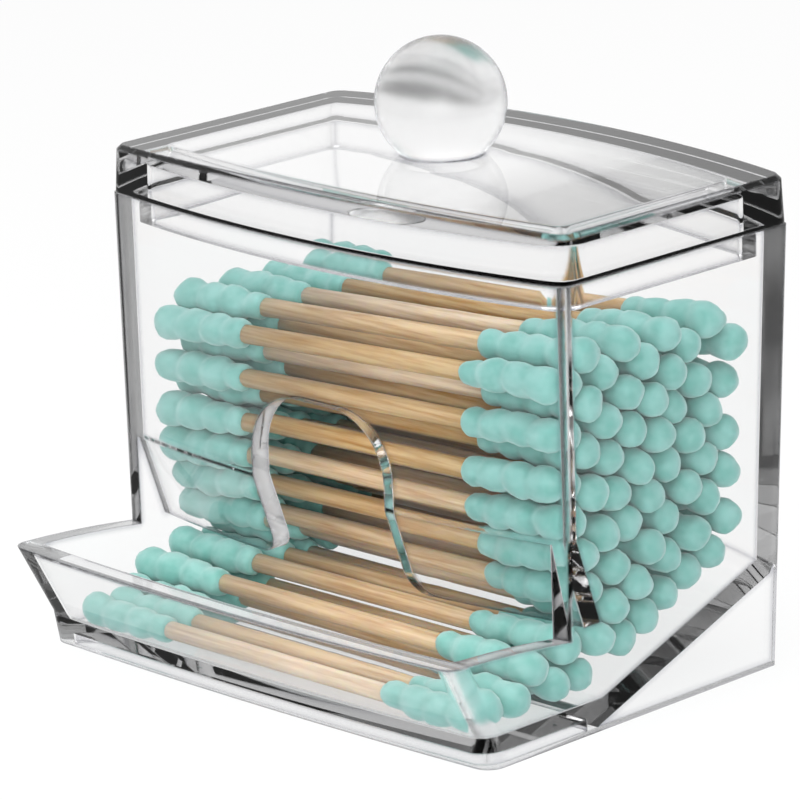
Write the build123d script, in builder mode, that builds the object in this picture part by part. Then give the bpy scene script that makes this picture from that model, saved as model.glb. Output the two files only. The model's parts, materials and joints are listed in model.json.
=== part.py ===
from build123d import *
import math
import os
import random

# Clear cotton swab holder: a hopper box with a dispensing tray, a lift-off lid
# with a ball knob, and the swabs that fill it. Millimetres, +Z up, front is -Y,
# origin on the ground under the middle of the whole object.

# Swabs, which set the inside width
SWAB_LENGTH = 75.0
SWAB_END_ROOM = 1.5
SWAB_END_GAP = 0.8
STICK_RADIUS = 1.3
TIP_RADIUS = 2.35
TIP_LENGTH = 15.5
TIP_END_RADIUS = 1.5
TIP_SHOULDER = 1.6
TIP_NECK = 5.9
SWAB_SIDES = 6
SWAB_GAP = 0.1
SWAB_WALL_GAP = 0.1

# Clear walls
WALL = 3.0
RIM_Z = 60.5
SIDE_DRAFT = 0.35
RIM_HALF_DEPTH = 21.6
FRONT_DRAFT = 0.5
BACK_DRAFT = 2.8
HOPPER_BOW = 4.2
HOPPER_CORNER = 0.7

# Front panel and finger notch
CREASE_Z = 26.2
PANEL_LIP_Z = 14.2
PANEL_SETBACK = 4.2
NOTCH_HALF_WIDTH = 12.4
NOTCH_TOP_Z = 38.7
NOTCH_TOP_RADIUS = 9.0
NOTCH_LIP_RADIUS = 3.4

# Tray
TRAY_REACH = 37.5
TRAY_FOOT_INSET = 0.9
TRAY_FLARE = 5.8
TRAY_KNEE_Z = 4.7
TRAY_FRONT_Z = 15.2
TRAY_BACK_Z = 13.5
TRAY_ARCH = 0.45
TRAY_FOOT_BOW = 1.0
TRAY_RIM_BOW = 1.8
TRAY_CORNER = 2.6
TRAY_INNER_CORNER = 1.0
TRAY_WALL = 3.3

# Floor and ramp
FLOOR_Z = 3.8
FLOOR_THICKNESS = 2.2
RAMP_START_Y = -14.0
RAMP_TOP_Z = 15.0
RAMP_THICKNESS = 3.2
RAMP_END_Z = 13.7
RAMP_END_SLANT = 0.7
SEAT_OVERLAP = 0.4

# Lid
LID_LIP = 0.2
LID_DRAFT = 0.4
LID_HEIGHT = 6.6
LID_CROWN = 0.8
LID_CORNER = 2.4
LID_EDGE = 0.6
LID_PLATE = 2.6
PLUG_DEPTH = 4.0
PLUG_WALL = 1.8
PLUG_CLEARANCE = 0.4
PLUG_CORNER = 1.2
POCKET_CORNER = 2.0
BALL_RADIUS = 8.9
BALL_SINK = 1.9

# How the swabs lie
SWAB_SPREAD = 0.08
PILE_FAN = 0.1
PILE_HEADROOM = 12.3
HEAP_TOP_Z = 12.0
HEAP_SLOPE = 0.27
DROP_STEP = 0.15
DROP_CHOICE = 1.3
SEED = 3

# Sizes and places worked out from the values above
MARGIN = 2.0
INNER_HALF_WIDTH = SWAB_LENGTH / 2 + SWAB_END_ROOM
RIM_HALF_WIDTH = INNER_HALF_WIDTH + WALL
TRAY_RIM_REACH = TRAY_REACH + TRAY_FLARE
FRONT_REACH = TRAY_RIM_REACH + TRAY_RIM_BOW
BACK_REACH = RIM_HALF_DEPTH + HOPPER_BOW + LID_LIP
HOPPER_Y = (FRONT_REACH - BACK_REACH) / 2
LID_SHOULDER_Z = RIM_Z + LID_HEIGHT
LID_TOP_Z = LID_SHOULDER_Z + LID_CROWN
CEILING_Z = LID_SHOULDER_Z - LID_PLATE
PILE_TOP_Z = RIM_Z - PILE_HEADROOM
CROWN_RADIUS = (RIM_HALF_WIDTH**2 + LID_CROWN**2) / (2 * LID_CROWN)
BALL_Z = LID_TOP_Z + BALL_RADIUS - BALL_SINK


def half_width_at(z):
    """Outer half width of the box at a height."""
    return RIM_HALF_WIDTH - SIDE_DRAFT * (1 - z / RIM_Z)


def front_at(z):
    """Distance from the hopper's middle to its front corners at a height."""
    return RIM_HALF_DEPTH - FRONT_DRAFT * (1 - z / RIM_Z)


def back_at(z):
    """Distance from the hopper's middle to its back corners at a height."""
    return RIM_HALF_DEPTH - BACK_DRAFT * (1 - z / RIM_Z)


def tray_front_at(z):
    """Distance from the hopper's middle to the tray's front corners at a height."""
    if z < TRAY_KNEE_Z:
        return TRAY_REACH - TRAY_FOOT_INSET * (1 - z / TRAY_KNEE_Z)
    return TRAY_REACH + TRAY_FLARE * (z - TRAY_KNEE_Z) / (TRAY_FRONT_Z - TRAY_KNEE_Z)


def tray_bow_at(z):
    """Bow of the tray's front at a height."""
    return TRAY_FOOT_BOW + (TRAY_RIM_BOW - TRAY_FOOT_BOW) * z / TRAY_FRONT_Z


def plan(z, half_width, front, back, front_bow, back_bow, front_corner, back_corner):
    """Plan outline with straight sides, a bowed front and a bowed or straight back."""
    with BuildSketch(Plane(origin=(0, HOPPER_Y, z))) as sketch:
        with BuildLine():
            ThreePointArc((-half_width, -front), (0, -front - front_bow), (half_width, -front))
            Line((half_width, -front), (half_width, back))
            if back_bow > 0:
                ThreePointArc((half_width, back), (0, back + back_bow), (-half_width, back))
            else:
                Line((half_width, back), (-half_width, back))
            Line((-half_width, back), (-half_width, -front))
        make_face()
        if front_corner > 0:
            fillet(sketch.vertices().sort_by(Axis.Y)[:2], front_corner)
        if back_corner > 0:
            fillet(sketch.vertices().sort_by(Axis.Y)[-2:], back_corner)
    return sketch.sketch


def hopper_plan(z, inset=0.0):
    """Outer outline of the hopper at a height, with its back drawn in by an inset."""
    return plan(z, half_width_at(z), front_at(z), back_at(z) - inset, HOPPER_BOW, HOPPER_BOW,
                HOPPER_CORNER, HOPPER_CORNER)


def hopper_inner_plan(z, inset=0.0, corner=0.0):
    """Inner outline of the hopper at a height, drawn in by an inset."""
    return plan(z, INNER_HALF_WIDTH - inset, front_at(z) - WALL - inset, back_at(z) - WALL - inset,
                HOPPER_BOW, HOPPER_BOW, corner, corner)


def tray_plan(z):
    """Outer outline of the tray at a height."""
    return plan(z, half_width_at(z), tray_front_at(z), RAMP_START_Y, tray_bow_at(z), 0,
                TRAY_CORNER, 0)


def tray_inner_plan(z):
    """Inner outline of the tray at a height."""
    return plan(z, INNER_HALF_WIDTH, tray_front_at(z) - TRAY_WALL, RAMP_START_Y, tray_bow_at(z), 0,
                TRAY_INNER_CORNER, 0)


def lid_plan(z, inset):
    """Outer outline of the lid at a height, drawn in by an inset."""
    half_depth = RIM_HALF_DEPTH + LID_LIP - inset
    return plan(z, RIM_HALF_WIDTH + LID_LIP - inset, half_depth, half_depth, HOPPER_BOW, HOPPER_BOW,
                LID_CORNER, LID_CORNER)


def panel_plan(z, setback):
    """Strip of front panel at a height, bowed like the front wall."""
    front = front_at(CREASE_Z) - setback
    reach = INNER_HALF_WIDTH + SEAT_OVERLAP
    with BuildSketch(Plane(origin=(0, HOPPER_Y, z))) as strip:
        with BuildLine():
            ThreePointArc((-reach, -front), (0, -front - HOPPER_BOW), (reach, -front))
            Line((reach, -front), (reach, WALL - front))
            ThreePointArc((reach, WALL - front), (0, WALL - front - HOPPER_BOW), (-reach, WALL - front))
            Line((-reach, WALL - front), (-reach, -front))
        make_face()
    return strip.sketch


# Side view: local x runs to the back and local y up. Front view: local x runs right.
side_view = Plane(origin=(0, HOPPER_Y, 0), x_dir=(0, 1, 0), z_dir=(1, 0, 0))
front_view = Plane(origin=(0, HOPPER_Y, 0), x_dir=(1, 0, 0), z_dir=(0, -1, 0))

ramp_run = back_at(RAMP_TOP_Z) - WALL - RAMP_START_Y
ramp_slope = (RAMP_TOP_Z - FLOOR_Z) / ramp_run
ramp_drop = RAMP_THICKNESS * math.hypot(1, ramp_slope)

# Hopper walls, opened at the foot of the front and of the back
with BuildPart() as hopper:
    loft(sections=[hopper_plan(0), hopper_plan(RIM_Z)], ruled=True)
    loft(sections=[hopper_inner_plan(-MARGIN), hopper_inner_plan(RIM_Z + MARGIN)], ruled=True,
         mode=Mode.SUBTRACT)
    with BuildSketch(front_view):
        Rectangle(2 * INNER_HALF_WIDTH, CREASE_Z, align=(Align.CENTER, Align.MIN))
    extrude(amount=2 * RIM_HALF_DEPTH, mode=Mode.SUBTRACT)
    with BuildSketch(front_view):
        Rectangle(2 * INNER_HALF_WIDTH, RAMP_END_Z, align=(Align.CENTER, Align.MIN))
    extrude(amount=-2 * RIM_HALF_DEPTH, mode=Mode.SUBTRACT)

# Room for the ramp: the hopper's outline, slanting in below the back wall's foot
with BuildPart() as ramp_room:
    loft(sections=[hopper_plan(0, RAMP_END_SLANT * RAMP_END_Z), hopper_plan(RAMP_END_Z)], ruled=True)
    loft(sections=[hopper_plan(RAMP_END_Z), hopper_plan(RIM_Z)], ruled=True)

# Ramp: a sloping plate that runs down to the ground behind the tray
with BuildPart() as ramp:
    with BuildSketch(side_view):
        far_y = 2 * RIM_HALF_DEPTH
        far_z = FLOOR_Z + (far_y - RAMP_START_Y) * ramp_slope
        foot_y = RAMP_START_Y + (ramp_drop - FLOOR_Z) / ramp_slope
        with BuildLine():
            Polyline((RAMP_START_Y - WALL, FLOOR_Z), (RAMP_START_Y, FLOOR_Z), (far_y, far_z),
                     (far_y, far_z - ramp_drop), (foot_y, 0), (RAMP_START_Y - WALL, 0), close=True)
        make_face()
    extrude(amount=INNER_HALF_WIDTH + SEAT_OVERLAP, both=True)
    add(ramp_room.part, mode=Mode.INTERSECT)

# The box: a tray block, hollowed and trimmed along its rim, joined to the walls,
# the ramp and the front panel, then cut by the finger notch
with BuildPart() as box:
    loft(sections=[tray_plan(0), tray_plan(TRAY_KNEE_Z)], ruled=True)
    loft(sections=[tray_plan(TRAY_KNEE_Z), tray_plan(TRAY_FRONT_Z)], ruled=True)
    loft(sections=[tray_inner_plan(FLOOR_Z), tray_inner_plan(TRAY_FRONT_Z + MARGIN)], ruled=True,
         mode=Mode.SUBTRACT)
    extrude(to_extrude=tray_inner_plan(0), amount=FLOOR_Z - FLOOR_THICKNESS, mode=Mode.SUBTRACT)
    with BuildSketch(side_view):
        post_y = -front_at(TRAY_BACK_Z)
        rim_y = -FRONT_REACH - MARGIN
        over_z = TRAY_FRONT_Z + MARGIN
        arch_z = (TRAY_BACK_Z + TRAY_FRONT_Z) / 2 + TRAY_ARCH
        with BuildLine():
            Line((RAMP_START_Y, TRAY_BACK_Z), (post_y, TRAY_BACK_Z))
            ThreePointArc((post_y, TRAY_BACK_Z), ((post_y + rim_y) / 2, arch_z), (rim_y, TRAY_FRONT_Z))
            Polyline((rim_y, TRAY_FRONT_Z), (rim_y, over_z), (RAMP_START_Y, over_z),
                     (RAMP_START_Y, TRAY_BACK_Z))
        make_face()
    extrude(amount=RIM_HALF_WIDTH + MARGIN, both=True, mode=Mode.SUBTRACT)
    add(hopper.part)
    add(ramp.part)
    loft(sections=[panel_plan(CREASE_Z, 0), panel_plan(PANEL_LIP_Z, PANEL_SETBACK)], ruled=True)
    with BuildSketch(front_view):
        flare_x = NOTCH_HALF_WIDTH + 2 * NOTCH_LIP_RADIUS
        low_z = PANEL_LIP_Z - MARGIN
        with BuildLine():
            left_foot = Polyline((-flare_x, low_z), (-flare_x, PANEL_LIP_Z),
                                 (-NOTCH_HALF_WIDTH - NOTCH_LIP_RADIUS, PANEL_LIP_Z))
            left_lip = JernArc(left_foot @ 1, (1, 0), NOTCH_LIP_RADIUS, 90)
            left_side = Line(left_lip @ 1, (-NOTCH_HALF_WIDTH, NOTCH_TOP_Z - NOTCH_TOP_RADIUS))
            left_arch = JernArc(left_side @ 1, (0, 1), NOTCH_TOP_RADIUS, -90)
            top = Line(left_arch @ 1, (NOTCH_HALF_WIDTH - NOTCH_TOP_RADIUS, NOTCH_TOP_Z))
            right_arch = JernArc(top @ 1, (1, 0), NOTCH_TOP_RADIUS, -90)
            right_side = Line(right_arch @ 1, (NOTCH_HALF_WIDTH, PANEL_LIP_Z + NOTCH_LIP_RADIUS))
            right_lip = JernArc(right_side @ 1, (0, -1), NOTCH_LIP_RADIUS, 90)
            Polyline(right_lip @ 1, (flare_x, PANEL_LIP_Z), (flare_x, low_z), (-flare_x, low_z))
        make_face()
    extrude(amount=RIM_HALF_DEPTH + 2 * HOPPER_BOW, mode=Mode.SUBTRACT)

# The lid: a bowed block with a crown, a plug that drops into the hopper, and a ball
with BuildPart() as lid:
    loft(sections=[lid_plan(RIM_Z, 0), lid_plan(LID_TOP_Z + MARGIN, LID_DRAFT)], ruled=True)
    with Locations((0, HOPPER_Y, LID_TOP_Z - CROWN_RADIUS)):
        Cylinder(CROWN_RADIUS, 4 * RIM_HALF_DEPTH, rotation=(90, 0, 0), mode=Mode.INTERSECT)
    chamfer(lid.faces().sort_by(Axis.Z)[-1].edges(), LID_EDGE)
    extrude(to_extrude=hopper_inner_plan(RIM_Z - PLUG_DEPTH, PLUG_CLEARANCE, PLUG_CORNER),
            amount=PLUG_DEPTH + LID_PLATE)
    extrude(to_extrude=hopper_inner_plan(RIM_Z - PLUG_DEPTH, PLUG_CLEARANCE + PLUG_WALL, POCKET_CORNER),
            amount=PLUG_DEPTH + CEILING_Z - RIM_Z, mode=Mode.SUBTRACT)
    with Locations((0, HOPPER_Y, BALL_Z)):
        Sphere(BALL_RADIUS)

# How the swabs lie, seen end on: y from the hopper's middle, z from the ground
pitch = 2 * TIP_RADIUS + SWAB_GAP
rest_gap = TIP_RADIUS + SWAB_WALL_GAP
tip_bow = HOPPER_BOW * (1 - ((INNER_HALF_WIDTH - SWAB_END_GAP) / INNER_HALF_WIDTH)**2)
panel_slope = PANEL_SETBACK / (CREASE_Z - PANEL_LIP_Z)
back_slope = BACK_DRAFT / RIM_Z
tray_slope = TRAY_FLARE / (TRAY_FRONT_Z - TRAY_KNEE_Z)


def on_floor(y):
    """Centre height of a swab on the level floor."""
    return FLOOR_Z + rest_gap


def on_ramp(y):
    """Centre height of a swab on the ramp."""
    return FLOOR_Z + (y - RAMP_START_Y) * ramp_slope + rest_gap * math.hypot(1, ramp_slope)


def on_panel(y):
    """Centre height of a swab against the inside of the sloping front panel."""
    lip_y = PANEL_SETBACK + WALL - front_at(CREASE_Z) - tip_bow
    return PANEL_LIP_Z + (lip_y + rest_gap * math.hypot(1, panel_slope) - y) / panel_slope


def on_back(y):
    """Centre height of a swab against the inside of the leaning back wall."""
    foot_y = back_at(0) - WALL + tip_bow
    return (y + rest_gap * math.hypot(1, back_slope) - foot_y) / back_slope


def on_tray_front(y):
    """Centre height of a swab against the inside of the tray's leaning front."""
    knee_y = TRAY_WALL - TRAY_REACH
    return TRAY_KNEE_Z + (knee_y + rest_gap * math.hypot(1, tray_slope) - y) / tray_slope


def rest_height(y, placed, surfaces):
    """Lowest centre height for a new swab at y, on the surfaces and the swabs already placed."""
    z = max(surface(y) for surface in surfaces)
    for other_y, other_z in placed:
        apart = abs(other_y - y)
        if apart < pitch:
            z = max(z, other_z + math.sqrt(pitch**2 - apart**2))
    return z


def is_stable(y, z, placed, surfaces):
    """True where a swab would roll to neither side."""
    before = rest_height(y - DROP_STEP, placed, surfaces)
    after = rest_height(y + DROP_STEP, placed, surfaces)
    return min(before, after) >= z and max(before, after) > z


def drop_swabs(y_from, y_to, surfaces, top_at, placed, chance):
    """Drops swabs into low stable spots until none is left under the top line."""
    added = []
    steps = math.ceil((y_to - y_from) / DROP_STEP)
    while True:
        spots = []
        for i in range(steps + 1):
            y = y_from + (y_to - y_from) * i / steps
            z = rest_height(y, placed, surfaces)
            if z <= top_at(y):
                spots.append((z, y))
        if not spots:
            return added
        lowest = min(spots)
        choice = [s for s in spots if s[0] < lowest[0] + DROP_CHOICE and is_stable(s[1], s[0], placed, surfaces)]
        z, y = chance.choice(choice) if choice else lowest
        placed.append((y, z))
        added.append((y, z))


chance = random.Random(SEED)
placed_swabs = []
tray_swabs = drop_swabs(TRAY_WALL + rest_gap - TRAY_RIM_REACH, RAMP_START_Y + TIP_RADIUS,
                        [on_floor, on_ramp, on_tray_front],
                        lambda y: HEAP_TOP_Z + HEAP_SLOPE * (y - RAMP_START_Y), placed_swabs, chance)
pile_swabs = drop_swabs(WALL + rest_gap - front_at(RIM_Z) - tip_bow, back_at(RIM_Z) - WALL - rest_gap + tip_bow,
                        [on_floor, on_ramp, on_panel, on_back],
                        lambda y: PILE_TOP_Z - TIP_RADIUS, placed_swabs, chance)


def swab_places(centres):
    """One location per swab, long axis along X, fanned up to the right with a small spread."""
    places = []
    for y, z in centres:
        rise = PILE_FAN * (z - on_floor(y))
        tilt = math.degrees((rise + chance.uniform(-SWAB_SPREAD, SWAB_SPREAD)) / SWAB_LENGTH)
        turn = math.degrees(chance.uniform(-SWAB_SPREAD, SWAB_SPREAD) / SWAB_LENGTH)
        shift = chance.uniform(-1, 1) * (SWAB_END_ROOM - SWAB_END_GAP)
        roll = chance.uniform(0, 360)
        places.append(Location((shift, HOPPER_Y + y, z + rise / 2)) * Location((0, 0, 0), (0, -tilt, turn))
                      * Location((0, 0, 0), (roll, 0, 0)))
    return places


def swab_section(x, radius):
    """Cross-section of a swab at a place along its length."""
    with BuildSketch(Plane(origin=(x, 0, 0), x_dir=(0, 1, 0), z_dir=(1, 0, 0))) as section:
        RegularPolygon(radius, SWAB_SIDES)
    return section.sketch


def narrowing(wide, narrow):
    """How far a swab's flat sides draw in between two radii."""
    return (wide - narrow) * math.cos(math.pi / SWAB_SIDES)


with BuildPart() as stick:
    stick_start = TIP_LENGTH - SWAB_LENGTH / 2
    extrude(to_extrude=swab_section(stick_start, STICK_RADIUS), amount=SWAB_LENGTH - 2 * TIP_LENGTH)

with BuildPart() as tip_pair:
    extrude(to_extrude=swab_section(SWAB_LENGTH / 2 - TIP_LENGTH, TIP_RADIUS), amount=TIP_LENGTH)
    tip_end = tip_pair.faces().sort_by(Axis.X)[-1]
    chamfer(tip_end.edges(), narrowing(TIP_RADIUS, TIP_END_RADIUS), TIP_SHOULDER, reference=tip_end)
    tip_neck = tip_pair.faces().sort_by(Axis.X)[0]
    chamfer(tip_neck.edges(), narrowing(TIP_RADIUS, STICK_RADIUS), TIP_NECK, reference=tip_neck)
    mirror(about=Plane.YZ)

pile_places = swab_places(pile_swabs)
tray_places = swab_places(tray_swabs)

with BuildPart() as pile_sticks:
    with Locations(*pile_places):
        add(stick.part)

with BuildPart() as pile_tips:
    with Locations(*pile_places):
        add(tip_pair.part)

with BuildPart() as tray_sticks:
    with Locations(*tray_places):
        add(stick.part)

with BuildPart() as tray_tips:
    with Locations(*tray_places):
        add(tip_pair.part)

os.makedirs("parts", exist_ok=True)
box.part.label = "box"
export_step(box.part, "parts/box.step")
lid.part.label = "lid"
export_step(lid.part, "parts/lid.step")
pile_sticks.part.label = "pile_sticks"
export_step(pile_sticks.part, "parts/pile_sticks.step")
pile_tips.part.label = "pile_tips"
export_step(pile_tips.part, "parts/pile_tips.step")
tray_sticks.part.label = "tray_sticks"
export_step(tray_sticks.part, "parts/tray_sticks.step")
tray_tips.part.label = "tray_tips"
export_step(tray_tips.part, "parts/tray_tips.step")
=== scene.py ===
"""Looks for a clear cotton swab holder.

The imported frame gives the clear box, the lid and plain solids for the swabs.
This script dresses the clear plastic, rebuilds every swab in detail where its
solid lies, and sets up the camera, the floor and the light. Metres, +Z up,
the tray faces -Y.
"""

import json
import logging
import math
from dataclasses import dataclass
from dataclasses import field
from enum import Enum

import bmesh
import bpy
from mathutils import Matrix
from mathutils import Vector

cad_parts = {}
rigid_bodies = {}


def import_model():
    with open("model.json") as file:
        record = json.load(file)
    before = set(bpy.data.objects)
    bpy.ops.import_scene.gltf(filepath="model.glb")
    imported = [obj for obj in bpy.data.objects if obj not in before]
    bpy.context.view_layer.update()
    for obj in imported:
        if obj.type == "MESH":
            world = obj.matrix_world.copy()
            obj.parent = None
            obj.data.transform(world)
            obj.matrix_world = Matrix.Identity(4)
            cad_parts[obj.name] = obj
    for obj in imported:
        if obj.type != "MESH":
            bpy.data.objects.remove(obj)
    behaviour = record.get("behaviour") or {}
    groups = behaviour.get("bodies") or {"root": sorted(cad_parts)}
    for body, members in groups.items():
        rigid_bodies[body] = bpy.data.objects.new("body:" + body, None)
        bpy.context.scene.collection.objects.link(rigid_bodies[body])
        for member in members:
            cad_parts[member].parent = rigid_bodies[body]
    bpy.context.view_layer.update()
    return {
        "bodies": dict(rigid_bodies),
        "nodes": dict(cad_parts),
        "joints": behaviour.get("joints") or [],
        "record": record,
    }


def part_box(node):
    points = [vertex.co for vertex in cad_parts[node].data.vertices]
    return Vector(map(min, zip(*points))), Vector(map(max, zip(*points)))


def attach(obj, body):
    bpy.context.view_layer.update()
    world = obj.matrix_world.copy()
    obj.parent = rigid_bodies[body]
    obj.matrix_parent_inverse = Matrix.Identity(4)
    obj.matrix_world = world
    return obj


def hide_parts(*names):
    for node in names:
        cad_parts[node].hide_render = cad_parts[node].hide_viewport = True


MM = 0.001
WELD = 0.01 * MM
TIP_RINGS = 4
LIGHT_BOUNCES = 24
MIRROR_BOUNCES = 12
WHITE = "#FFFFFF"
LOG = logging.getLogger("swab_holder")


class Slot(Enum):
    """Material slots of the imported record."""

    CLEAR_PLASTIC = "clear_plastic"
    STICK_WOOD = "stick_wood"
    COTTON = "cotton"


class Body(Enum):
    """Bodies that move on their own."""

    HOLDER = "holder"
    LID = "lid"


def linear(hex_colour: str) -> tuple[float, float, float, float]:
    """Turns an sRGB hex colour into a linear one.

    Args:
        hex_colour: Colour written as "#RRGGBB".

    Returns:
        Linear red, green, blue and an alpha of 1.
    """
    channels = []
    for start in (1, 3, 5):
        value = int(hex_colour[start:start + 2], 16) / 255
        channels.append(value / 12.92 if value <= 0.04045 else ((value + 0.055) / 1.055) ** 2.4)
    return (channels[0], channels[1], channels[2], 1.0)


def add_node(tree: bpy.types.NodeTree, kind: str, inputs: dict | None = None, **settings) -> bpy.types.Node:
    """Adds a node to a tree with its settings, values and links.

    Args:
        tree: Tree that takes the node.
        kind: Node type name.
        inputs: Values or feeding sockets, by input name or index.
        **settings: Properties of the node itself.

    Returns:
        The new node.
    """
    node = tree.nodes.new(kind)
    for name, value in settings.items():
        setattr(node, name, value)
    for key, value in (inputs or {}).items():
        if isinstance(value, bpy.types.NodeSocket):
            tree.links.new(value, node.inputs[key])
        else:
            node.inputs[key].default_value = value
    return node


def new_material(name: str) -> tuple[bpy.types.Material, bpy.types.NodeTree]:
    """Makes an empty node material.

    Args:
        name: Name of the material.

    Returns:
        The material and its cleared node tree.
    """
    material = bpy.data.materials.new(name)
    material.use_nodes = True
    material.node_tree.nodes.clear()
    return material, material.node_tree


def set_stops(ramp: bpy.types.Node, stops: list[tuple[float, str]]) -> None:
    """Sets a colour ramp's stops.

    Args:
        ramp: Colour ramp node.
        stops: Position and hex colour of each stop, in order.
    """
    elements = ramp.color_ramp.elements
    while len(elements) < len(stops):
        elements.new(1.0)
    for element, (position, colour) in zip(elements, stops):
        element.position = position
        element.color = linear(colour)


@dataclass(frozen=True)
class ClearPlastic:
    """Clear polystyrene, injection moulded and polished.

    It is almost invisible where it is flat and bends what lies behind it at every
    edge. Painted shade greys it near every edge, darkens it where light runs a long
    way inside a wall, and greys the knob towards its rim. The knob is also softer.
    """

    ior: float = 1.49
    roughness: float = 0.0
    edge_radius_mm: float = 0.45
    edge_samples: int = 4
    edge_shade_mm: float = 1.6
    shade_samples: int = 2
    likeness_at_edge: float = 0.72
    likeness_on_wall: float = 0.97
    # painted shade: grey mixed into the plastic's colour near every edge
    painted_edge_shade_colour: str = "#82828E"
    clear_colour: str = WHITE
    shade_colour: str = "#F4F6F7"
    depth_colour: str = "#20202C"
    depth_per_metre: float = 5.0
    # painted shade: the plastic is darkened where a ray runs between these lengths inside a wall
    short_way_mm: float = 4.2
    long_way_mm: float = 6.2
    painted_long_way_shade: float = 0.11
    lid_from_mm: float = 60.4
    lid_to_mm: float = 61.0
    lid_share: float = 0.3
    sheen_colour: str = "#808080"
    knob_roughness: float = 0.24
    knob_from_mm: float = 68.0
    knob_to_mm: float = 70.0
    # painted shade: how far the knob's rim turns grey as it faces away
    painted_rim_shade_from: float = 0.58
    painted_rim_shade_to: float = 0.98

    def build(self) -> bpy.types.Material:
        """Builds the material: refractive for the eye, open to light on its way to the swabs."""
        material, tree = new_material("polished_clear_polystyrene")
        rounded = add_node(tree, "ShaderNodeBevel", {
            "Radius": self.edge_radius_mm * MM,
        }, samples=self.edge_samples)
        # Painted shade: the wide rounded normal marks a band along every edge, which is greyed below.
        wide = add_node(tree, "ShaderNodeBevel", {
            "Radius": self.edge_shade_mm * MM,
        }, samples=self.shade_samples)
        face = add_node(tree, "ShaderNodeNewGeometry")
        alike = add_node(tree, "ShaderNodeVectorMath", {
            0: wide.outputs["Normal"],
            1: face.outputs["Normal"],
        }, operation="DOT_PRODUCT")
        painted_edge_shade_amount = add_node(tree, "ShaderNodeMapRange", {
            "Value": alike.outputs["Value"],
            "From Min": self.likeness_at_edge,
            "From Max": self.likeness_on_wall,
            "To Min": 1.0,
            "To Max": 0.0,
        })
        place = add_node(tree, "ShaderNodeTexCoord")
        height = add_node(tree, "ShaderNodeSeparateXYZ", {0: place.outputs["Object"]})
        knob = add_node(tree, "ShaderNodeMapRange", {
            "Value": height.outputs["Z"],
            "From Min": self.knob_from_mm * MM,
            "From Max": self.knob_to_mm * MM,
        })
        softness = add_node(tree, "ShaderNodeMapRange", {
            "Value": knob.outputs[0],
            "To Min": self.roughness,
            "To Max": self.knob_roughness,
        })
        # Painted shade: the knob greys towards its rim where it turns away.
        facing = add_node(tree, "ShaderNodeLayerWeight")
        rim = add_node(tree, "ShaderNodeMapRange", {
            "Value": facing.outputs["Facing"],
            "From Min": self.painted_rim_shade_from,
            "From Max": self.painted_rim_shade_to,
        })
        painted_knob_rim_shade = add_node(tree, "ShaderNodeMath", {
            0: rim.outputs[0],
            1: knob.outputs[0],
        }, operation="MULTIPLY")
        painted_shade_amount = add_node(tree, "ShaderNodeMath", {
            0: painted_edge_shade_amount.outputs[0],
            1: painted_knob_rim_shade.outputs[0],
        }, operation="MAXIMUM")
        # Painted shade: clear colour away from the edges, grey near every edge and at the knob's rim.
        painted_shade_tint = add_node(tree, "ShaderNodeValToRGB", {"Fac": painted_shade_amount.outputs[0]})
        set_stops(painted_shade_tint, [(0.0, self.clear_colour), (1.0, self.painted_edge_shade_colour)])
        plastic = add_node(tree, "ShaderNodeBsdfPrincipled", {
            "Base Color": painted_shade_tint.outputs["Color"],
            "Roughness": softness.outputs[0],
            "IOR": self.ior,
            "Specular Tint": linear(self.sheen_colour),
            "Transmission Weight": 1.0,
            "Normal": rounded.outputs["Normal"],
        })
        path = add_node(tree, "ShaderNodeLightPath")
        # Painted shade: mixes the plastic with black where a ray has run a long way inside a wall, less on
        # the lid.
        long_way = add_node(tree, "ShaderNodeMapRange", {
            "Value": path.outputs["Ray Length"],
            "From Min": self.short_way_mm * MM,
            "From Max": self.long_way_mm * MM,
            "To Max": self.painted_long_way_shade,
        })
        painted_shade_inside_wall = add_node(tree, "ShaderNodeMath", {
            0: long_way.outputs[0],
            1: face.outputs["Backfacing"],
        }, operation="MULTIPLY")
        by_height = add_node(tree, "ShaderNodeMapRange", {
            "Value": height.outputs["Z"],
            "From Min": self.lid_from_mm * MM,
            "From Max": self.lid_to_mm * MM,
            "To Min": 1.0,
            "To Max": self.lid_share,
        })
        painted_shade_below_lid = add_node(tree, "ShaderNodeMath", {
            0: painted_shade_inside_wall.outputs[0],
            1: by_height.outputs[0],
        }, operation="MULTIPLY")
        dimmed = add_node(tree, "ShaderNodeMixShader", {0: painted_shade_below_lid.outputs[0], 1: plastic.outputs[0]})
        open_air = add_node(tree, "ShaderNodeBsdfTransparent", {"Color": linear(self.shade_colour)})
        light_way = add_node(tree, "ShaderNodeMath", {
            0: path.outputs["Is Shadow Ray"],
            1: path.outputs["Is Diffuse Ray"],
        }, operation="MAXIMUM")
        mixed = add_node(tree, "ShaderNodeMixShader", {
            0: light_way.outputs[0],
            1: dimmed.outputs[0],
            2: open_air.outputs[0],
        })
        depth = add_node(tree, "ShaderNodeVolumeAbsorption", {
            "Color": linear(self.depth_colour),
            "Density": self.depth_per_metre,
        })
        add_node(tree, "ShaderNodeOutputMaterial", {
            "Surface": mixed.outputs[0],
            "Volume": depth.outputs[0],
        })
        return material


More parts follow.
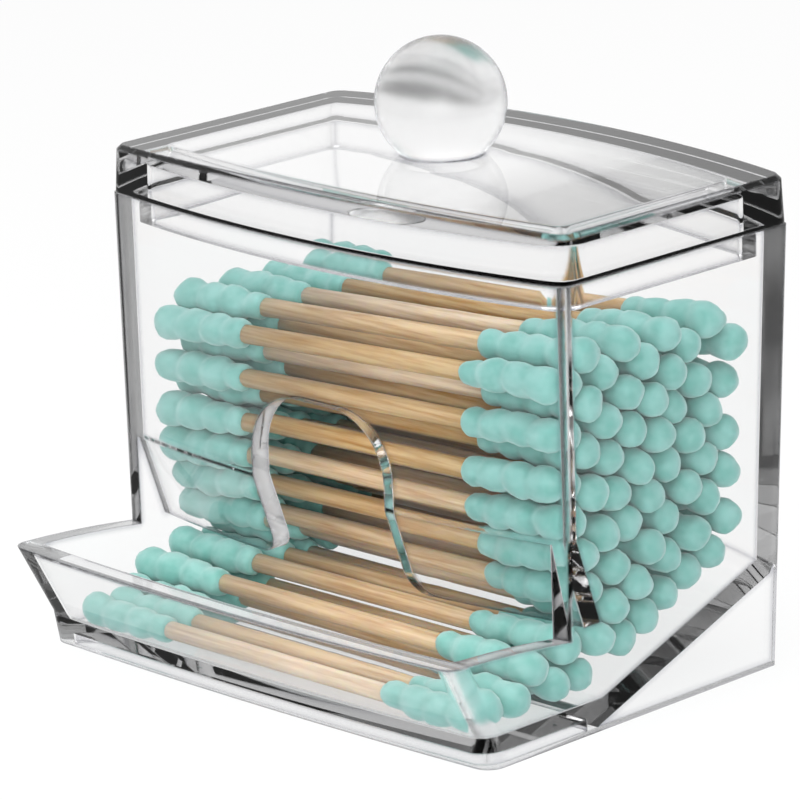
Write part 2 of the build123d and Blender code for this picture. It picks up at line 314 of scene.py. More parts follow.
@dataclass(frozen=True)
class StickWood:
    """Birch, turned into thin sticks and left bare.

    Pale and matt, with fine darker grain that runs along each stick and a tone
    that differs a little from stick to stick.
    """

    pale_colour: str = "#D2B488"
    dark_colour: str = "#AC8049"
    tone_range: float = 0.24
    bleach_range: float = 0.36
    dark_grain: float = 0.3
    pale_grain: float = 0.62
    grain_width_mm: float = 0.7
    grain_length_mm: float = 16.0
    grain_depth_mm: float = 0.04
    grain_strength: float = 0.5
    glow_depth_mm: float = 1.5
    glow_share: float = 0.6
    glow_reach: tuple[float, float, float] = (1.0, 0.5, 0.15)
    roughness: float = 0.5
    shine: float = 0.25
    sheen: float = 0.1
    sheen_roughness: float = 0.35

    def build(self) -> bpy.types.Material:
        """Builds the material with its grain stretched along X, the way the sticks lie."""
        material, tree = new_material("bare_birch")
        place = add_node(tree, "ShaderNodeTexCoord")
        along = 1 / (self.grain_length_mm * MM)
        across = 1 / (self.grain_width_mm * MM)
        stretch = add_node(tree, "ShaderNodeMapping", {
            "Vector": place.outputs["Object"],
            "Scale": (along, across, across),
        })
        grain = add_node(tree, "ShaderNodeTexNoise", {
            "Vector": stretch.outputs["Vector"],
            "Scale": 1.0,
            "Detail": 4.0,
            "Roughness": 0.6,
        })
        colour = add_node(tree, "ShaderNodeValToRGB", {"Fac": grain.outputs["Fac"]})
        set_stops(colour, [(self.dark_grain, self.dark_colour), (self.pale_grain, self.pale_colour)])
        tone = add_node(tree, "ShaderNodeAttribute", attribute_name="tone")
        bright = add_node(tree, "ShaderNodeMapRange", {
            "Value": tone.outputs["Fac"],
            "To Min": 1.0 - self.tone_range,
            "To Max": 1.0 + self.tone_range / 2,
        })
        bleach = add_node(tree, "ShaderNodeMapRange", {
            "Value": tone.outputs["Fac"],
            "To Min": 1.0 + self.bleach_range / 3,
            "To Max": 1.0 - self.bleach_range,
        })
        toned = add_node(tree, "ShaderNodeHueSaturation", {
            "Saturation": bleach.outputs[0],
            "Value": bright.outputs[0],
            "Color": colour.outputs["Color"],
        })
        bump = add_node(tree, "ShaderNodeBump", {
            "Strength": self.grain_strength,
            "Distance": self.grain_depth_mm * MM,
            "Height": grain.outputs["Fac"],
        })
        wood = add_node(tree, "ShaderNodeBsdfPrincipled", {
            "Base Color": toned.outputs["Color"],
            "Roughness": self.roughness,
            "Specular IOR Level": self.shine,
            "Subsurface Weight": self.glow_share,
            "Subsurface Radius": self.glow_reach,
            "Subsurface Scale": self.glow_depth_mm * MM,
            "Sheen Weight": self.sheen,
            "Sheen Roughness": self.sheen_roughness,
            "Normal": bump.outputs["Normal"],
        })
        add_node(tree, "ShaderNodeOutputMaterial", {"Surface": wood.outputs[0]})
        return material


@dataclass(frozen=True)
class DyedCotton:
    """Cotton wool, dyed mint green and wound tight on the stick.

    Matt and soft at the edges, with faint wound fibres and light that passes a
    little way into it.
    """

    colour: str = "#90BFB8"
    deep_colour: str = "#79B0A7"
    deep_mottle: float = 0.35
    pale_mottle: float = 0.65
    mottle_mm: float = 2.6
    fibre_mm: float = 0.35
    fibre_depth_mm: float = 0.05
    fibre_strength: float = 0.6
    soft_depth_mm: float = 1.4
    soft_share: float = 0.8
    roughness: float = 0.95
    shine: float = 0.15
    sheen: float = 0.35
    sheen_roughness: float = 0.5

    def build(self) -> bpy.types.Material:
        """Builds the material with mottled dye, fine fibre bumps and sheen."""
        material, tree = new_material("mint_cotton_wool")
        place = add_node(tree, "ShaderNodeTexCoord")
        mottle = add_node(tree, "ShaderNodeTexNoise", {
            "Vector": place.outputs["Object"],
            "Scale": 1 / (self.mottle_mm * MM),
            "Detail": 2.0,
        })
        colour = add_node(tree, "ShaderNodeValToRGB", {"Fac": mottle.outputs["Fac"]})
        set_stops(colour, [(self.deep_mottle, self.deep_colour), (self.pale_mottle, self.colour)])
        fibre = add_node(tree, "ShaderNodeTexNoise", {
            "Vector": place.outputs["Object"],
            "Scale": 1 / (self.fibre_mm * MM),
            "Detail": 3.0,
            "Roughness": 0.7,
        })
        bump = add_node(tree, "ShaderNodeBump", {
            "Strength": self.fibre_strength,
            "Distance": self.fibre_depth_mm * MM,
            "Height": fibre.outputs["Fac"],
        })
        cotton = add_node(tree, "ShaderNodeBsdfPrincipled", {
            "Base Color": colour.outputs["Color"],
            "Roughness": self.roughness,
            "Specular IOR Level": self.shine,
            "Subsurface Weight": self.soft_share,
            "Subsurface Radius": (1.0, 1.0, 1.0),
            "Subsurface Scale": self.soft_depth_mm * MM,
            "Sheen Weight": self.sheen,
            "Sheen Roughness": self.sheen_roughness,
            "Normal": bump.outputs["Normal"],
        })
        add_node(tree, "ShaderNodeOutputMaterial", {"Surface": cotton.outputs[0]})
        return material


def islands_of(node: bpy.types.Object) -> list[list[Vector]]:
    """Finds the corner points of each separate solid in a CAD node.

    Args:
        node: Object of the node, which is only read.

    Returns:
        One list of points for each solid.
    """
    bm = bmesh.new()
    bm.from_mesh(node.data)
    bmesh.ops.remove_doubles(bm, verts=bm.verts, dist=WELD)
    seen: set = set()
    islands = []
    for start in bm.verts:
        if start in seen:
            continue
        seen.add(start)
        todo = [start]
        points = []
        while todo:
            vert = todo.pop()
            points.append(vert.co.copy())
            for edge in vert.link_edges:
                other = edge.other_vert(vert)
                if other not in seen:
                    seen.add(other)
                    todo.append(other)
        islands.append(points)
    bm.free()
    return islands


def middle(points: list[Vector]) -> Vector:
    """Middle of a few points."""
    return sum(points, Vector()) / len(points)


@dataclass(frozen=True)
class Axis:
    """Line from one end of a solid to its other end."""

    start: Vector
    end: Vector

    @property
    def along(self) -> Vector:
        """Direction from start to end."""
        return (self.end - self.start).normalized()

    @property
    def length(self) -> float:
        """Distance from start to end."""
        return (self.end - self.start).length


def stick_axes(node: bpy.types.Object) -> list[Axis]:
    """Reads where the sticks of a node lie.

    Args:
        node: CAD node whose solids are sticks along X.

    Returns:
        One axis for each stick, from its left end to its right end.
    """
    axes = []
    for points in islands_of(node):
        points.sort(key=lambda point: point.x)
        half = len(points) // 2
        axes.append(Axis(middle(points[:half]), middle(points[half:])))
    return axes


def tip_axes(node: bpy.types.Object) -> list[Axis]:
    """Reads where the tips of a node lie.

    Args:
        node: CAD node whose solids are tips, each with the same number of rings of corners.

    Returns:
        One axis for each tip, from its neck on the stick to its outer end.
    """
    axes = []
    for points in islands_of(node):
        points.sort(key=lambda point: abs(point.x))
        ring = len(points) // TIP_RINGS
        axes.append(Axis(middle(points[:ring]), middle(points[-ring:])))
    return axes


def points_object(name: str, places: list[Vector], axes: list[Axis]) -> bpy.types.Object:
    """Makes an object with one loose point for each place, which carries its direction.

    Args:
        name: Name of the object.
        places: Where the points lie.
        axes: Axis of each point.

    Returns:
        The new object, linked to the scene.
    """
    mesh = bpy.data.meshes.new(name)
    mesh.from_pydata([tuple(place) for place in places], [], [])
    along = mesh.attributes.new("along", "FLOAT_VECTOR", "POINT")
    for item, axis in zip(along.data, axes):
        item.vector = axis.along
    piece = bpy.data.objects.new(name, mesh)
    bpy.context.scene.collection.objects.link(piece)
    return piece


def node_group(name: str, inputs: list[tuple[str, str]]) -> tuple[bpy.types.NodeTree, dict[str, str]]:
    """Makes an empty Geometry Nodes tree with named inputs.

    Args:
        name: Name of the tree.
        inputs: Name and socket type of each input after the geometry.

    Returns:
        The tree and the identifier of each input by its name.
    """
    tree = bpy.data.node_groups.new(name, "GeometryNodeTree")
    tree.interface.new_socket("Geometry", in_out="INPUT", socket_type="NodeSocketGeometry")
    tree.interface.new_socket("Geometry", in_out="OUTPUT", socket_type="NodeSocketGeometry")
    identifiers = {}
    for label, socket_type in inputs:
        socket = tree.interface.new_socket(label, in_out="INPUT", socket_type=socket_type)
        identifiers[label] = socket.identifier
    return tree, identifiers


def grow(piece: bpy.types.Object, tree: bpy.types.NodeTree, values: dict[str, object]) -> None:
    """Runs a tree on a piece and keeps the result as the piece's plain mesh.

    Args:
        piece: Object whose mesh feeds the tree.
        tree: Geometry Nodes tree.
        values: Value of each input by socket identifier.
    """
    modifier = piece.modifiers.new(tree.name, "NODES")
    modifier.node_group = tree
    for identifier, value in values.items():
        modifier[identifier] = value
    graph = bpy.context.evaluated_depsgraph_get()
    mesh = bpy.data.meshes.new_from_object(piece.evaluated_get(graph), preserve_all_data_layers=True,
                                           depsgraph=graph)
    mesh.name = piece.name
    piece.modifiers.clear()
    piece.data = mesh


def stick_tree() -> tuple[bpy.types.NodeTree, dict[str, str]]:
    """Builds the tree that sets a round stick on every point.

    Returns:
        The tree and its input identifiers.
    """
    tree, ids = node_group("stick_on_each_point", [
        ("Radius", "NodeSocketFloat"),
        ("Length", "NodeSocketFloat"),
        ("Sides", "NodeSocketInt"),
        ("Seed", "NodeSocketInt"),
        ("Material", "NodeSocketMaterial"),
    ])
    source = add_node(tree, "NodeGroupInput")
    rod = add_node(tree, "GeometryNodeMeshCylinder", {
        "Vertices": source.outputs["Sides"],
        "Radius": source.outputs["Radius"],
        "Depth": source.outputs["Length"],
    }, fill_type="NGON")
    along = add_node(tree, "GeometryNodeInputNamedAttribute", {"Name": "along"}, data_type="FLOAT_VECTOR")
    turned = add_node(tree, "FunctionNodeAlignRotationToVector", {
        "Vector": along.outputs["Attribute"],
    }, axis="Z")
    rods = add_node(tree, "GeometryNodeInstanceOnPoints", {
        "Points": source.outputs["Geometry"],
        "Instance": rod.outputs["Mesh"],
        "Rotation": turned.outputs["Rotation"],
    })
    tone = add_node(tree, "FunctionNodeRandomValue", {"Seed": source.outputs["Seed"]}, data_type="FLOAT")
    toned = add_node(tree, "GeometryNodeStoreNamedAttribute", {
        "Geometry": rods.outputs["Instances"],
        "Name": "tone",
        "Value": tone.outputs[1],
    }, data_type="FLOAT", domain="INSTANCE")
    whole = add_node(tree, "GeometryNodeRealizeInstances", {"Geometry": toned.outputs["Geometry"]})
    dressed = add_node(tree, "GeometryNodeSetMaterial", {
        "Geometry": whole.outputs["Geometry"],
        "Material": source.outputs["Material"],
    })
    add_node(tree, "NodeGroupOutput", {"Geometry": dressed.outputs["Geometry"]})
    return tree, ids


def tip_tree() -> tuple[bpy.types.NodeTree, dict[str, str]]:
    """Builds the tree that sets a wound tip on every point, each rolled and lumped its own way.

    Returns:
        The tree and its input identifiers.
    """
    tree, ids = node_group("tip_on_each_point", [
        ("Tip", "NodeSocketObject"),
        ("Lump Size", "NodeSocketFloat"),
        ("Lump Height", "NodeSocketFloat"),
        ("Sway Size", "NodeSocketFloat"),
        ("Sway", "NodeSocketFloat"),
        ("Seed", "NodeSocketInt"),
        ("Material", "NodeSocketMaterial"),
    ])
    source = add_node(tree, "NodeGroupInput")
    form = add_node(tree, "GeometryNodeObjectInfo", {"Object": source.outputs["Tip"]})
    along = add_node(tree, "GeometryNodeInputNamedAttribute", {"Name": "along"}, data_type="FLOAT_VECTOR")
    turned = add_node(tree, "FunctionNodeAlignRotationToVector", {
        "Vector": along.outputs["Attribute"],
    }, axis="Z")
    angle = add_node(tree, "FunctionNodeRandomValue", {3: math.tau, "Seed": source.outputs["Seed"]},
                     data_type="FLOAT")
    roll = add_node(tree, "FunctionNodeAxisAngleToRotation", {"Angle": angle.outputs[1]})
    rolled = add_node(tree, "FunctionNodeRotateRotation", {
        "Rotation": turned.outputs["Rotation"],
        "Rotate By": roll.outputs["Rotation"],
    }, rotation_space="LOCAL")
    tips = add_node(tree, "GeometryNodeInstanceOnPoints", {
        "Points": source.outputs["Geometry"],
        "Instance": form.outputs["Geometry"],
        "Rotation": rolled.outputs["Rotation"],
    })
    whole = add_node(tree, "GeometryNodeRealizeInstances", {"Geometry": tips.outputs["Instances"]})
    per_metre = add_node(tree, "ShaderNodeMath", {
        0: 1.0,
        1: source.outputs["Lump Size"],
    }, operation="DIVIDE")
    lumps = add_node(tree, "ShaderNodeTexNoise", {"Scale": per_metre.outputs[0], "Detail": 1.0})
    centred = add_node(tree, "ShaderNodeMath", {0: lumps.outputs["Fac"], 1: 0.5}, operation="SUBTRACT")
    height = add_node(tree, "ShaderNodeMath", {
        0: centred.outputs[0],
        1: source.outputs["Lump Height"],
    }, operation="MULTIPLY")
    outward = add_node(tree, "GeometryNodeInputNormal")
    push = add_node(tree, "ShaderNodeVectorMath", {
        "Vector": outward.outputs["Normal"],
        "Scale": height.outputs[0],
    }, operation="SCALE")
    sway_per_metre = add_node(tree, "ShaderNodeMath", {
        0: 1.0,
        1: source.outputs["Sway Size"],
    }, operation="DIVIDE")
    drift = add_node(tree, "ShaderNodeTexNoise", {"Scale": sway_per_metre.outputs[0], "Detail": 0.0})
    drift_centred = add_node(tree, "ShaderNodeVectorMath", {
        0: drift.outputs["Color"],
        1: (0.5, 0.5, 0.5),
    }, operation="SUBTRACT")
    sideways = add_node(tree, "ShaderNodeVectorMath", {
        0: drift_centred.outputs["Vector"],
        1: (0.0, 1.0, 1.0),
    }, operation="MULTIPLY")
    swayed = add_node(tree, "ShaderNodeVectorMath", {
        "Vector": sideways.outputs["Vector"],
        "Scale": source.outputs["Sway"],
    }, operation="SCALE")
    shift = add_node(tree, "ShaderNodeVectorMath", {
        0: push.outputs["Vector"],
        1: swayed.outputs["Vector"],
    }, operation="ADD")
    lumpy = add_node(tree, "GeometryNodeSetPosition", {
        "Geometry": whole.outputs["Geometry"],
        "Offset": shift.outputs["Vector"],
    })
    smooth = add_node(tree, "GeometryNodeSetShadeSmooth", {"Geometry": lumpy.outputs["Geometry"]})
    dressed = add_node(tree, "GeometryNodeSetMaterial", {
        "Geometry": smooth.outputs["Geometry"],
        "Material": source.outputs["Material"],
    })
    add_node(tree, "NodeGroupOutput", {"Geometry": dressed.outputs["Geometry"]})
    return tree, ids


@dataclass
class SwabGroup:
    """One heap of swabs: its sticks and its tips, laid where the CAD solids lie."""

    name: str
    stick_node: str
    tip_node: str
    seed: int
    stick_radius: float = 1.3 * MM
    stick_sides: int = 14
    stick_bury: float = 3.0 * MM
    tip_radius: float = 2.38 * MM
    tip_sides: int = 16
    tip_overrun: float = 1.4 * MM
    neck_fit: float = 1.03
    turn_shares: tuple[float, ...] = (0.20, 0.25, 0.26, 0.29)
    turn_widths: tuple[float, ...] = (0.82, 0.94, 0.98, 1.0)
    turn_steps: int = 7
    crease: float = 0.2
    end_ring_step: float = 0.4
    end_ring_width: float = 0.33
    lump_size: float = 3.2 * MM
    lump_height: float = 0.9 * MM
    sway_size: float = 5.0 * MM
    sway: float = 0.9 * MM

    def build(self, frame: dict, wood: bpy.types.Material,
              cotton: bpy.types.Material) -> list[bpy.types.Object]:
        """Builds the sticks and the tips as two pieces.

        Args:
            frame: The loaded frame.
            wood: Finish of the sticks.
            cotton: Finish of the tips.

        Returns:
            The stick piece and the tip piece.
        """
        sticks = self.build_sticks(stick_axes(frame["nodes"][self.stick_node]), wood)
        tips = self.build_tips(tip_axes(frame["nodes"][self.tip_node]), cotton)
        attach(sticks, Body.HOLDER.value)
        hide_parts(self.stick_node)
        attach(tips, Body.HOLDER.value)
        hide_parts(self.tip_node)
        return [sticks, tips]

    def build_sticks(self, axes: list[Axis], wood: bpy.types.Material) -> bpy.types.Object:
        """Builds one round stick on each axis, its ends buried in the tips.

        Args:
            axes: Where the sticks lie.
            wood: Finish of the sticks.

        Returns:
            The stick piece.
        """
        centres = [middle([axis.start, axis.end]) for axis in axes]
        piece = points_object(self.name + "_round_sticks", centres, axes)
        tree, ids = stick_tree()
        grow(piece, tree, {
            ids["Radius"]: self.stick_radius,
            ids["Length"]: axes[0].length + 2 * self.stick_bury,
            ids["Sides"]: self.stick_sides,
            ids["Seed"]: self.seed,
            ids["Material"]: wood,
        })
        piece.data.shade_smooth()
        return piece

    def build_tips(self, axes: list[Axis], cotton: bpy.types.Material) -> bpy.types.Object:
        """Builds one wound tip on each axis.

        Args:
            axes: Where the tips lie.
            cotton: Finish of the tips.

        Returns:
            The tip piece.
        """
        piece = points_object(self.name + "_wound_tips", [axis.start for axis in axes], axes)
        form = self.tip_form(axes[0].length)
        tree, ids = tip_tree()
        grow(piece, tree, {
            ids["Tip"]: form,
            ids["Lump Size"]: self.lump_size,
            ids["Lump Height"]: self.lump_height,
            ids["Sway Size"]: self.sway_size,
            ids["Sway"]: self.sway,
            ids["Seed"]: self.seed,
            ids["Material"]: cotton,
        })
        bpy.data.objects.remove(form)
        return piece

    def tip_profile(self, length: float) -> list[tuple[float, float]]:
        """Works out the tip's outline, one rounded lump for each turn of the winding.

        Args:
            length: Length of a tip.

        Returns:
            Heights along the tip with the radius at each, closed at both ends.
        """
        steps = self.turn_steps
        whole = length + self.tip_overrun
        squeeze = 1 - (1 - self.crease) ** 2
        neck = self.stick_radius * self.neck_fit
        z = -self.tip_overrun
        outline = [(z, 0.0)]
        last = len(self.turn_shares) - 1
        for turn, (share, width) in enumerate(zip(self.turn_shares, self.turn_widths)):
            radius = width * self.tip_radius
            for step in range(steps):
                u = 2 * step / steps - 1
                flat = math.sqrt(1 - squeeze * u * u)
                if turn == 0 and u < 0:
                    flat = neck / radius + (1 - neck / radius) * math.sqrt(1 - u * u)
                if turn == last and u > 0:
                    flat = math.sqrt(1 - u * u)
                outline.append((z + share * whole * step / steps, radius * flat))
            z += share * whole
        outline.append((z - share * whole / steps * self.end_ring_step, radius * self.end_ring_width))
        outline.append((z, 0.0))
        return outline

    def tip_form(self, length: float) -> bpy.types.Object:
        """Spins the tip's profile into one closed form along +Z.

        Args:
            length: Length of a tip.

        Returns:
            An object that holds the form, to be copied and then removed.
        """
        bm = bmesh.new()
        rings = []
        for z, radius in self.tip_profile(length):
            if radius == 0:
                rings.append([bm.verts.new((0, 0, z))])
                continue
            turn = math.tau / self.tip_sides
            rings.append([bm.verts.new((radius * math.cos(i * turn), radius * math.sin(i * turn), z))
                          for i in range(self.tip_sides)])
        for low, high in zip(rings, rings[1:]):
            for i in range(self.tip_sides):
                j = (i + 1) % self.tip_sides
                corners = [low[i % len(low)], low[j % len(low)], high[j % len(high)], high[i % len(high)]]
                bm.faces.new(dict.fromkeys(corners))
        bmesh.ops.recalc_face_normals(bm, faces=bm.faces)
        mesh = bpy.data.meshes.new("tip_form")
        bm.to_mesh(mesh)
        bm.free()
        form = bpy.data.objects.new("tip_form", mesh)
        bpy.context.scene.collection.objects.link(form)
        return form


@dataclass
class ClearBox:
    """The clear box, which keeps its CAD solid and gets its finish here."""

    node: str = "box"

    def dress(self, frame: dict, plastic: bpy.types.Material) -> bpy.types.Object:
        """Puts the clear plastic on the solid.

        Args:
            frame: The loaded frame.
            plastic: Finish of the box.

        Returns:
            The CAD node's object.
        """
        piece = frame["nodes"][self.node]
        for slot in piece.material_slots:
            slot.material = plastic
        return piece


@dataclass
class ClearLid:
    """The clear lid: the CAD solid with its ball knob divided until it is round to the eye."""

    node: str = "lid"
    knob_radius: float = 8.9 * MM
    knob_slack: float = 0.03 * MM
    weld: float = 0.001 * MM
    divisions: int = 2
    centre: Vector = field(default_factory=Vector)
    places: list[Vector] = field(default_factory=list)
    numbers: dict[tuple[int, ...], int] = field(default_factory=dict)
    ring: set[int] = field(default_factory=set)

    def build(self, frame: dict, plastic: bpy.types.Material) -> bpy.types.Object:
        """Builds the lid over the solid's own faces and normals.

        Args:
            frame: The loaded frame.
            plastic: Finish of the lid.

        Returns:
            The lid piece.
        """
        solid = frame["nodes"][self.node].data
        top = max((vertex.co for vertex in solid.vertices), key=lambda place: place.z)
        self.centre = top - Vector((0, 0, self.knob_radius))
        plain = []
        knob = []
        for face in solid.polygons:
            corners = [self.number(solid.vertices[index].co) for index in face.vertices]
            normals = [solid.corner_normals[loop].vector.copy() for loop in face.loop_indices]
            if len(set(corners)) < len(corners):
                continue
            if all(self.on_knob(corner) for corner in corners):
                knob.append(corners)
            else:
                plain.append((corners, normals))
        self.find_ring(knob)
        faces, loop_normals = [], []
        for corners, normals in plain:
            corners, normals = self.follow_ring(corners, normals)
            faces.append(corners)
            loop_normals.extend(normals)
        for corners in knob:
            for small in self.divide(corners, self.divisions):
                faces.append(small)
                loop_normals.extend((self.places[corner] - self.centre).normalized() for corner in small)
        mesh = bpy.data.meshes.new("clear_lid")
        mesh.from_pydata(self.places, [], faces)
        mesh.shade_smooth()
        mesh.normals_split_custom_set(loop_normals)
        mesh.materials.append(plastic)
        piece = bpy.data.objects.new("clear_lid", mesh)
        bpy.context.scene.collection.objects.link(piece)
        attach(piece, Body.LID.value)
        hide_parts(self.node)
        return piece

    def number(self, place: Vector) -> int:
        """Gives a place its vertex number, one number for places that coincide."""
        key = tuple(round(value / self.weld) for value in place)
        if key not in self.numbers:
            self.numbers[key] = len(self.places)
            self.places.append(place.copy())
        return self.numbers[key]

    def on_knob(self, corner: int) -> bool:
        """Tells whether a vertex lies on the ball, give or take the slack."""
        return abs((self.places[corner] - self.centre).length - self.knob_radius) < self.knob_slack

    def find_ring(self, knob: list[list[int]]) -> None:
        """Finds the ring of vertices where the ball stands on the lid.

        Args:
            knob: Faces of the ball.
        """
        uses: dict[frozenset[int], int] = {}
        for corners in knob:
            for edge in zip(corners, corners[1:] + corners[:1]):
                uses[frozenset(edge)] = uses.get(frozenset(edge), 0) + 1
        for edge, count in uses.items():
            if count == 1:
                self.ring.update(edge)

    def between(self, start: int, end: int) -> int:
        """Finds the vertex halfway between two, on the ball or round the ring.

        Args:
            start: First vertex.
            end: Second vertex.

        Returns:
            The vertex between them.
        """
        first, second = self.places[start] - self.centre, self.places[end] - self.centre
        half = (first + second) / 2
        if start in self.ring and end in self.ring:
            reach = (first.xy.length + second.xy.length) / 2
            half.xy = half.xy.normalized() * reach
            corner = self.number(half + self.centre)
            self.ring.add(corner)
            return corner
        return self.number(half.normalized() * self.knob_radius + self.centre)

    def divide(self, corners: list[int], level: int) -> list[list[int]]:
        """Divides one face of the ball into four, again and again.

        Args:
            corners: The face's three vertices.
            level: Times to divide it.

        Returns:
            The small faces.
        """
        if level == 0:
            return [corners]
        a, b, c = corners
        ab, bc, ca = self.between(a, b), self.between(b, c), self.between(c, a)
        quarters = ([a, ab, ca], [ab, b, bc], [ca, bc, c], [ab, bc, ca])
        return [small for quarter in quarters for small in self.divide(quarter, level - 1)]

    def follow_ring(self, corners: list[int], normals: list[Vector]) -> tuple[list[int], list[Vector]]:
        """Gives a face of the lid's top the ring vertices that the divided ball has.

        Args:
            corners: The face's vertices.
            normals: The normal at each.

        Returns:
            The vertices and normals with the ring's own put in.
        """
        steps = 2 ** self.divisions
        new_corners, new_normals = [], []
        for i, corner in enumerate(corners):
            after = (i + 1) % len(corners)
            new_corners.append(corner)
            new_normals.append(normals[i])
            if corner in self.ring and corners[after] in self.ring:
                new_corners.extend(self.steps_between(corner, corners[after], self.divisions))
                for step in range(1, steps):
                    new_normals.append(normals[i].lerp(normals[after], step / steps).normalized())
        return new_corners, new_normals

    def steps_between(self, start: int, end: int, level: int) -> list[int]:
        """Lists the ring vertices between two, in order.

        Args:
            start: First vertex.
            end: Second vertex.
            level: Times the ring was divided.

        Returns:
            The vertices between them.
        """
        if level == 0:
            return []
        half = self.between(start, end)
        before = self.steps_between(start, half, level - 1)
        return before + [half] + self.steps_between(half, end, level - 1)


@dataclass
class PhotoCamera:
    """Camera at the photograph's angle and distance, aimed from the hopper's foot."""

    azimuth: float = 45.14
    elevation: float = 15.90
    roll: float = -1.716
    lens_mm: float = 238.4
    sensor_mm: float = 36.0
    distance: float = 725.63 * MM
    aim_right: float = -7.586 * MM
    aim_up: float = 32.288 * MM
    nearest: float = 10 * MM

    def build(self, hopper_foot: Vector) -> bpy.types.Object:
        """Builds the camera and makes it the scene's own.

        Args:
            hopper_foot: Point on the ground under the hopper's middle.

        Returns:
            The camera.
        """
        azimuth = math.radians(self.azimuth)
        elevation = math.radians(self.elevation)
        roll = math.radians(self.roll)
        ahead = Vector((-math.sin(azimuth) * math.cos(elevation), math.cos(azimuth) * math.cos(elevation),
                        -math.sin(elevation)))
        level = Vector((math.cos(azimuth), math.sin(azimuth), 0))
        upright = level.cross(ahead)
        right = level * math.cos(roll) + upright * math.sin(roll)
        up = upright * math.cos(roll) - level * math.sin(roll)
        aim = hopper_foot + right * self.aim_right + up * self.aim_up
        data = bpy.data.cameras.new("camera")
        data.sensor_width = self.sensor_mm
        data.lens = self.lens_mm
        data.clip_start = self.nearest
        camera = bpy.data.objects.new("camera", data)
        turn = Matrix((right, up, -ahead)).transposed().to_4x4()
        camera.matrix_world = Matrix.Translation(aim - ahead * self.distance) @ turn
        bpy.context.scene.collection.objects.link(camera)
        bpy.context.scene.camera = camera
        return camera


@dataclass(frozen=True)
class Lamp:
    """A square soft lamp: where it hangs, how large it is and how bright."""

    name: str
    place: tuple[float, float, float]
    width: float
    watts: float


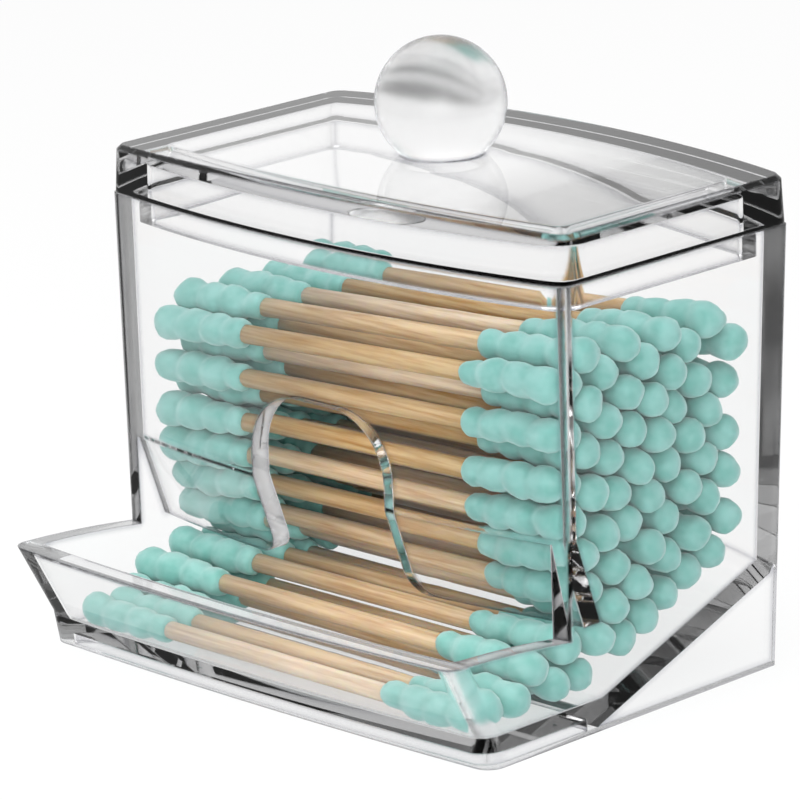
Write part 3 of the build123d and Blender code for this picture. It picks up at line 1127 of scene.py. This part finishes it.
@dataclass
class Studio:
    """Pale floor, white surroundings and soft lamps."""

    floor_size: float = 6.0
    floor_colour: str = "#F6F6F6"
    floor_glow: float = 0.85
    room_strength: float = 0.45
    deep_from: float = 6.5
    deep_to: float = 11.0
    deep_dark: float = 0.24
    deep_light: float = 0.9
    streak_from: float = 0.42
    streak_to: float = 0.62
    floor_streak: float = 0.07
    room_streak: float = 0.3
    mirrored_floor: float = 0.4
    aim: Vector = field(default_factory=lambda: Vector((0, 0, 0.03)))
    lamps: tuple[Lamp, ...] = (
        Lamp("lamp_above", (0.1, -0.15, 0.9), 0.7, 6.0),
        Lamp("lamp_front_left", (-0.2, -0.9, 0.45), 0.5, 1.5),
        Lamp("lamp_by_the_eye", (0.66, -0.6, 0.3), 0.35, 5.0),
    )

    def build(self) -> None:
        """Builds the floor, the surroundings and the lamps."""
        self.build_floor()
        self.build_room()
        for lamp in self.lamps:
            self.build_lamp(lamp)

    def build_floor(self) -> None:
        """Builds a pale floor that looks white and still takes the object's shadow."""
        half = self.floor_size / 2
        mesh = bpy.data.meshes.new("floor")
        mesh.from_pydata([(-half, -half, 0), (half, -half, 0), (half, half, 0), (-half, half, 0)], [],
                         [(0, 1, 2, 3)])
        floor = bpy.data.objects.new("floor", mesh)
        bpy.context.scene.collection.objects.link(floor)
        material, tree = new_material("pale_floor")
        path = add_node(tree, "ShaderNodeLightPath")
        share = add_node(tree, "ShaderNodeMath", {
            0: self.seen_by_eye(tree).outputs[0],
            1: self.floor_glow,
        }, operation="MULTIPLY")
        matt = add_node(tree, "ShaderNodeBsdfDiffuse", {"Color": linear(self.floor_colour)})
        place = add_node(tree, "ShaderNodeTexCoord")
        deep = self.streaks_when_deep(tree, place.outputs["Object"], 1 / self.floor_streak)
        only_mirrored = add_node(tree, "ShaderNodeMath", {
            0: path.outputs["Is Glossy Ray"],
            1: path.outputs["Is Transmission Ray"],
        }, operation="SUBTRACT", use_clamp=True)
        mirrored = add_node(tree, "ShaderNodeMapRange", {
            "Value": only_mirrored.outputs[0],
            "To Min": 1.0,
            "To Max": self.mirrored_floor,
        })
        strength = add_node(tree, "ShaderNodeMath", {
            0: deep.outputs[0],
            1: mirrored.outputs[0],
        }, operation="MULTIPLY")
        glow = add_node(tree, "ShaderNodeEmission", {
            "Color": linear(WHITE),
            "Strength": strength.outputs[0],
        })
        mixed = add_node(tree, "ShaderNodeMixShader", {
            0: share.outputs[0],
            1: matt.outputs[0],
            2: glow.outputs[0],
        })
        add_node(tree, "ShaderNodeOutputMaterial", {"Surface": mixed.outputs[0]})
        mesh.materials.append(material)

    def seen_by_eye(self, tree: bpy.types.NodeTree) -> bpy.types.Node:
        """Adds the test for light that the eye sees, straight, mirrored or through the plastic.

        Args:
            tree: Tree of the floor or the room.

        Returns:
            The node whose output is 1 for such light and 0 for light that falls on the swabs.
        """
        path = add_node(tree, "ShaderNodeLightPath")
        straight_or_mirrored = add_node(tree, "ShaderNodeMath", {
            0: path.outputs["Is Camera Ray"],
            1: path.outputs["Is Glossy Ray"],
        }, operation="MAXIMUM")
        return add_node(tree, "ShaderNodeMath", {
            0: straight_or_mirrored.outputs[0],
            1: path.outputs["Is Transmission Ray"],
        }, operation="MAXIMUM")

    def streaks_when_deep(self, tree: bpy.types.NodeTree, place: bpy.types.NodeSocket,
                          per_unit: float) -> bpy.types.Node:
        """Adds the strength of white surroundings that break into streaks at the plastic's edges.

        Args:
            tree: Tree of the floor or the room.
            place: Coordinates the streaks lie in.
            per_unit: Streaks for each unit of the coordinates.

        Returns:
            The node whose output is plain 1 unless light met the plastic many times.
        """
        path = add_node(tree, "ShaderNodeLightPath")
        deepness = add_node(tree, "ShaderNodeMapRange", {
            "Value": path.outputs["Ray Depth"],
            "From Min": self.deep_from,
            "From Max": self.deep_to,
        })
        cloud = add_node(tree, "ShaderNodeTexNoise", {"Vector": place, "Scale": per_unit, "Detail": 1.0})
        streak = add_node(tree, "ShaderNodeMapRange", {
            "Value": cloud.outputs["Fac"],
            "From Min": self.streak_from,
            "From Max": self.streak_to,
            "To Min": self.deep_dark,
            "To Max": self.deep_light,
        })
        return add_node(tree, "ShaderNodeMapRange", {
            "Value": deepness.outputs[0],
            "To Min": 1.0,
            "To Max": streak.outputs[0],
        })

    def build_room(self) -> None:
        """Builds the white surroundings, which light the object less than they look."""
        world = bpy.data.worlds.new("white_room")
        world.use_nodes = True
        tree = world.node_tree
        tree.nodes.clear()
        place = add_node(tree, "ShaderNodeTexCoord")
        deep = self.streaks_when_deep(tree, place.outputs["Generated"], 1 / self.room_streak)
        strength = add_node(tree, "ShaderNodeMapRange", {
            "Value": self.seen_by_eye(tree).outputs[0],
            "To Min": self.room_strength,
            "To Max": deep.outputs[0],
        })
        room = add_node(tree, "ShaderNodeBackground", {
            "Color": linear(WHITE),
            "Strength": strength.outputs[0],
        })
        add_node(tree, "ShaderNodeOutputWorld", {"Surface": room.outputs[0]})
        bpy.context.scene.world = world

    def build_lamp(self, lamp: Lamp) -> None:
        """Hangs one lamp and aims it at the object.

        Args:
            lamp: The lamp's place, size and power.
        """
        data = bpy.data.lights.new(lamp.name, "AREA")
        data.energy = lamp.watts
        data.size = lamp.width
        lit = bpy.data.objects.new(lamp.name, data)
        place = Vector(lamp.place)
        turn = (self.aim - place).to_track_quat("-Z", "Y").to_matrix().to_4x4()
        lit.matrix_world = Matrix.Translation(place) @ turn
        bpy.context.scene.collection.objects.link(lit)


def main() -> None:
    """Builds every piece in order on the loaded frame."""
    logging.basicConfig(level=logging.INFO, format="%(name)s: %(message)s")
    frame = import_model()
    scene = bpy.context.scene
    scene.view_settings.view_transform = "Standard"
    scene.cycles.max_bounces = LIGHT_BOUNCES
    scene.cycles.glossy_bounces = MIRROR_BOUNCES
    scene.cycles.transmission_bounces = LIGHT_BOUNCES

    lid_low, lid_high = (Vector(corner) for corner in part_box("lid"))
    hopper_middle = (lid_low + lid_high) / 2
    PhotoCamera().build(Vector((hopper_middle.x, hopper_middle.y, 0)))
    Studio().build()
    LOG.info("camera, floor and lamps are in place")

    plastic = ClearPlastic().build()
    for clear in (ClearBox().dress(frame, plastic), ClearLid().build(frame, plastic)):
        LOG.info("%s has its clear plastic and %d faces", clear.name, len(clear.data.polygons))

    wood = StickWood().build()
    cotton = DyedCotton().build()
    pile = SwabGroup("pile", "pile_sticks", "pile_tips", seed=3)
    tray = SwabGroup("tray", "tray_sticks", "tray_tips", seed=5)
    for group in (pile, tray):
        for piece in group.build(frame, wood, cotton):
            LOG.info("%s has %d faces", piece.name, len(piece.data.polygons))


if __name__ == "__main__":
    main()
